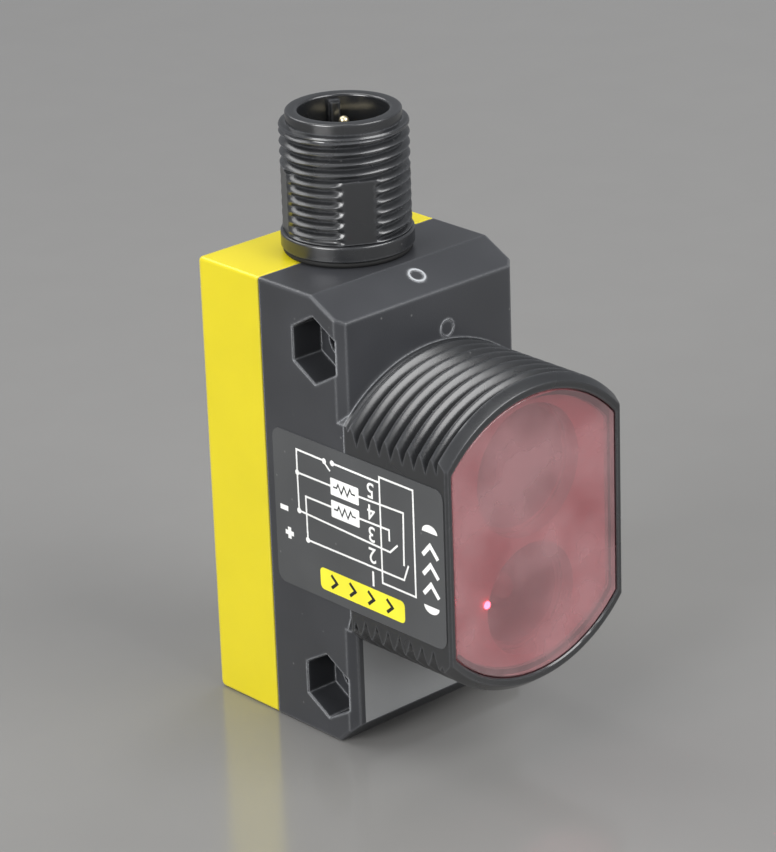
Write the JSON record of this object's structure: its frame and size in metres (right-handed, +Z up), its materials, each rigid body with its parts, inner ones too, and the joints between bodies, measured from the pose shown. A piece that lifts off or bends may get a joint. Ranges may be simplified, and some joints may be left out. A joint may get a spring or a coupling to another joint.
{
  "type": "photoelectric sensor",
  "caption": "Block sensor with a flattened threaded barrel, a red window over two lenses, a round connector on top, side screw holes with nut pockets and two push buttons at the rear.",
  "frame": {"origin": "middle of the base, below the centre of the overall box", "axes": "+Z up towards the connector, -Y the way the lens looks, +X to the side without nut pockets"},
  "size_m": [0.0221, 0.034, 0.0575],
  "materials": {
    "housing_plastic": "satin moulded black plastic",
    "cover_plastic": "yellow moulded plastic",
    "window_plastic": "clear red acrylic",
    "lens_plastic": "clear acrylic",
    "inner_plastic": "black",
    "connector_plastic": "satin moulded black plastic",
    "seal_rubber": "black",
    "seal_foam": "black",
    "board": "green solder mask",
    "flex": "amber film",
    "chip_plastic": "black",
    "tinned_metal": "tinned",
    "screw_steel": "zinc plated",
    "contact_brass": "gold plated",
    "lamp_red": "clear red epoxy",
    "lamp_chip": "white body",
    "light_plastic": "clear",
    "button_plastic": "fine texture",
    "switch_plastic": "black",
    "panel_film": "printed film",
    "label_film": "printed film"
  },
  "bodies": {
    "housing": {"front_housing": "housing_plastic", "front_window": "window_plastic", "window_seal": "seal_foam", "lens_holder": "inner_plastic", "receiver_lens": "lens_plastic", "emitter_lens": "lens_plastic", "emitter_led": "lamp_red", "emitter_hood": "inner_plastic", "receiver_photodiode": "chip_plastic", "receiver_shield": "tinned_metal", "optics_board": "board", "optics_screws": "screw_steel", "board_link_pins": "contact_brass", "board_link_strips": "chip_plastic", "main_board": "board", "microcontroller": "chip_plastic", "microcontroller_legs": "tinned_metal", "board_components": "chip_plastic", "main_board_screws": "screw_steel", "connector_shell": "connector_plastic", "connector_insert": "inner_plastic", "contact_pins": "contact_brass", "connector_board": "board", "connector_seal": "seal_rubber", "connector_flex": "flex", "rear_cover": "cover_plastic", "cover_seal": "seal_foam", "button_seal_plus": "seal_rubber", "switch_body_plus": "switch_plastic", "button_seal_minus": "seal_rubber", "switch_body_minus": "switch_plastic", "control_panel": "panel_film", "light_guide_power": "light_plastic", "led_power": "lamp_chip", "light_guide_output": "light_plastic", "led_output": "lamp_chip", "light_bar_guide": "light_plastic", "light_bar_leds": "lamp_chip", "side_label": "label_film"},
    "button_plus": {"button_plus": "button_plastic", "switch_plunger_plus": "switch_plastic"},
    "button_minus": {"button_minus": "button_plastic", "switch_plunger_minus": "switch_plastic"}
  },
  "joints": [
    {"name": "press_plus", "type": "slide", "parent": "housing", "child": "button_plus", "axis": [0, -1, 0], "range_m": [0, 0.0004], "stiffness_N_per_m": 2500},
    {"name": "press_minus", "type": "slide", "parent": "housing", "child": "button_minus", "axis": [0, -1, 0], "range_m": [0, 0.0004], "stiffness_N_per_m": 2500}
  ]
}
